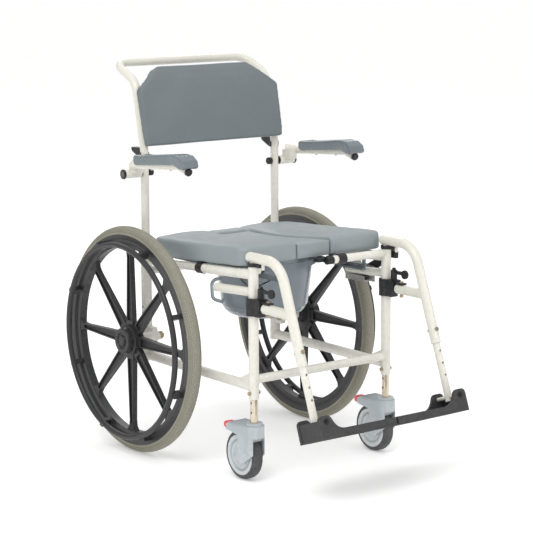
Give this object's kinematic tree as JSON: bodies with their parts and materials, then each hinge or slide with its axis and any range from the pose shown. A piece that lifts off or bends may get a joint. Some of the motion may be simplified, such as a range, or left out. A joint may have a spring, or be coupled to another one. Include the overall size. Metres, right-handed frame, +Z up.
{
  "type": "commode chair",
  "caption": "Self-propelled commode chair: large spoked rear wheels, castors, padded seat with lift-out insert, pan, swing-up armrests and swing-away legrests.",
  "frame": {"origin": "on the floor, below the middle of the overall box", "axes": "+Z up, -Y towards the front of the chair, +X towards the sitter's left"},
  "size_m": [0.667, 1.0346, 1.024],
  "materials": {
    "rail_grey": "slate grey plastic channel",
    "frame_paint": "satin cream powder coat",
    "stem_metal": "champagne anodised",
    "zinc_gold": "yellow zinc plate",
    "lock_steel": "grey steel",
    "black_plastic": "black moulded plastic",
    "dark_plastic": "charcoal textured plastic",
    "wheel_plastic": "charcoal moulded wheel",
    "tyre_grey": "olive grey tyre",
    "castor_grey": "grey plastic",
    "castor_rubber": "dark grey rubber",
    "red_plastic": "red plastic",
    "seat_pad": "soft skinned foam, light blue grey",
    "back_pad": "soft skinned foam, slate grey",
    "arm_pad": "soft skinned foam, slate grey",
    "pan_plastic": "smoky translucent plastic"
  },
  "bodies": {
    "frame": {"front_uprights": "frame_paint", "upper_rails": "frame_paint", "lower_stubs": "frame_paint", "lower_rails": "frame_paint", "rear_uprights": "frame_paint", "axle_brackets": "frame_paint", "axles": "zinc_gold", "cross_tubes": "frame_paint", "seat_stubs": "frame_paint", "seat_clips": "black_plastic", "back_tube": "frame_paint", "back_panel": "back_pad", "panel_brackets": "black_plastic", "seat_cushion": "seat_pad", "pan_rails": "rail_grey", "castor_stems": "stem_metal", "stem_bolts": "zinc_gold", "arm_pivots": "black_plastic", "lock_collars": "black_plastic", "leg_bushes": "black_plastic", "wheel_lock_base": "lock_steel"},
    "seat_insert_body": {"seat_insert": "seat_pad"},
    "pan_body": {"pan": "pan_plastic"},
    "wheel_lock": {"wheel_lock_lever": "black_plastic"},
    "armrest_right": {"arm_tube_right": "frame_paint", "arm_pad_right": "arm_pad", "arm_caps_right": "black_plastic"},
    "legrest_right": {"leg_tube_right": "frame_paint", "leg_bolts_right": "zinc_gold", "swing_collar_right": "black_plastic"},
    "latch_right": {"latch_lever_right": "black_plastic"},
    "extension_right": {"leg_extension_right": "frame_paint"},
    "foot_right": {"footplate_right": "dark_plastic"},
    "wheel_right": {"tyre_right": "tyre_grey", "rim_right": "wheel_plastic", "spokes_right": "wheel_plastic", "hub_right": "wheel_plastic", "pushrim_right": "wheel_plastic"},
    "fork_right": {"castor_fork_right": "castor_grey"},
    "castor_wheel_right": {"castor_tyre_right": "castor_rubber", "castor_hub_right": "castor_grey"},
    "pedal_right": {"castor_pedal_right": "red_plastic"},
    "armrest_left": {"arm_tube_left": "frame_paint", "arm_pad_left": "arm_pad", "arm_caps_left": "black_plastic"},
    "legrest_left": {"leg_tube_left": "frame_paint", "leg_bolts_left": "zinc_gold", "swing_collar_left": "black_plastic"},
    "latch_left": {"latch_lever_left": "black_plastic"},
    "extension_left": {"leg_extension_left": "frame_paint"},
    "foot_left": {"footplate_left": "dark_plastic"},
    "wheel_left": {"tyre_left": "tyre_grey", "rim_left": "wheel_plastic", "spokes_left": "wheel_plastic", "hub_left": "wheel_plastic", "pushrim_left": "wheel_plastic"},
    "fork_left": {"castor_fork_left": "castor_grey"},
    "castor_wheel_left": {"castor_tyre_left": "castor_rubber", "castor_hub_left": "castor_grey"},
    "pedal_left": {"castor_pedal_left": "red_plastic"}
  },
  "joints": [
    {"name": "wheel_spin_right", "type": "hinge", "parent": "frame", "child": "wheel_right", "pos_m": [-0.291, 0.2173, 0.3], "axis": [1, 0, 0], "continuous": true},
    {"name": "castor_swivel_right", "type": "hinge", "parent": "frame", "child": "fork_right", "pos_m": [-0.215, -0.2197, 0.152], "axis": [0, 0, 1], "continuous": true},
    {"name": "castor_roll_right", "type": "hinge", "parent": "fork_right", "child": "castor_wheel_right", "pos_m": [-0.215, -0.1777, 0.0625], "axis": [1, 0, 0], "continuous": true},
    {"name": "castor_pedal_right", "type": "hinge", "parent": "fork_right", "child": "pedal_right", "pos_m": [-0.215, -0.1477, 0.131], "axis": [-1, 0, 0], "range_deg": [0, 12]},
    {"name": "armrest_swing_right", "type": "hinge", "parent": "frame", "child": "armrest_right", "pos_m": [-0.215, 0.2543, 0.733], "axis": [-1, 0, 0], "range_deg": [0, 100]},
    {"name": "legrest_swing_right", "type": "hinge", "parent": "frame", "child": "legrest_right", "pos_m": [-0.215, -0.2197, 0.5], "axis": [0, 0, -1], "range_deg": [0, 90]},
    {"name": "latch_lever_right", "type": "hinge", "parent": "legrest_right", "child": "latch_right", "pos_m": [-0.215, -0.2507, 0.488], "axis": [0, 0, 1], "range_deg": [0, 50], "stiffness_Nm_per_rad": 0.05},
    {"name": "leg_length_right", "type": "slide", "parent": "legrest_right", "child": "extension_right", "axis": [0, -0.342, -0.9397], "range_m": [-0.045, 0.06]},
    {"name": "footplate_flip_right", "type": "hinge", "parent": "extension_right", "child": "foot_right", "pos_m": [-0.215, -0.46157, 0.19744], "axis": [0, -0.9397, 0.342], "range_deg": [0, 90]},
    {"name": "wheel_spin_left", "type": "hinge", "parent": "frame", "child": "wheel_left", "pos_m": [0.291, 0.2173, 0.3], "axis": [1, 0, 0], "continuous": true},
    {"name": "castor_swivel_left", "type": "hinge", "parent": "frame", "child": "fork_left", "pos_m": [0.215, -0.2197, 0.152], "axis": [0, 0, 1], "continuous": true},
    {"name": "castor_roll_left", "type": "hinge", "parent": "fork_left", "child": "castor_wheel_left", "pos_m": [0.215, -0.1777, 0.0625], "axis": [1, 0, 0], "continuous": true},
    {"name": "castor_pedal_left", "type": "hinge", "parent": "fork_left", "child": "pedal_left", "pos_m": [0.215, -0.1477, 0.131], "axis": [-1, 0, 0], "range_deg": [0, 12]},
    {"name": "armrest_swing_left", "type": "hinge", "parent": "frame", "child": "armrest_left", "pos_m": [0.215, 0.2543, 0.733], "axis": [-1, 0, 0], "range_deg": [0, 100]},
    {"name": "legrest_swing_left", "type": "hinge", "parent": "frame", "child": "legrest_left", "pos_m": [0.215, -0.2197, 0.5], "axis": [0, 0, 1], "range_deg": [0, 90]},
    {"name": "latch_lever_left", "type": "hinge", "parent": "legrest_left", "child": "latch_left", "pos_m": [0.215, -0.2507, 0.488], "axis": [0, 0, -1], "range_deg": [0, 50], "stiffness_Nm_per_rad": 0.05},
    {"name": "leg_length_left", "type": "slide", "parent": "legrest_left", "child": "extension_left", "axis": [0, -0.342, -0.9397], "range_m": [-0.045, 0.06]},
    {"name": "footplate_flip_left", "type": "hinge", "parent": "extension_left", "child": "foot_left", "pos_m": [0.215, -0.46157, 0.19744], "axis": [0, 0.9397, -0.342], "range_deg": [0, 90]},
    {"name": "seat_insert_lift", "type": "slide", "parent": "frame", "child": "seat_insert_body", "axis": [0, 0.0576, 0.9983], "range_m": [0, 0.15]},
    {"name": "pan_slide", "type": "slide", "parent": "frame", "child": "pan_body", "axis": [0, -1, 0], "range_m": [0, 0.35]},
    {"name": "wheel_lock_lever", "type": "hinge", "parent": "frame", "child": "wheel_lock", "pos_m": [0.234, -0.1277, 0.47], "axis": [1, 0, 0], "range_deg": [0, 8]}
  ]
}
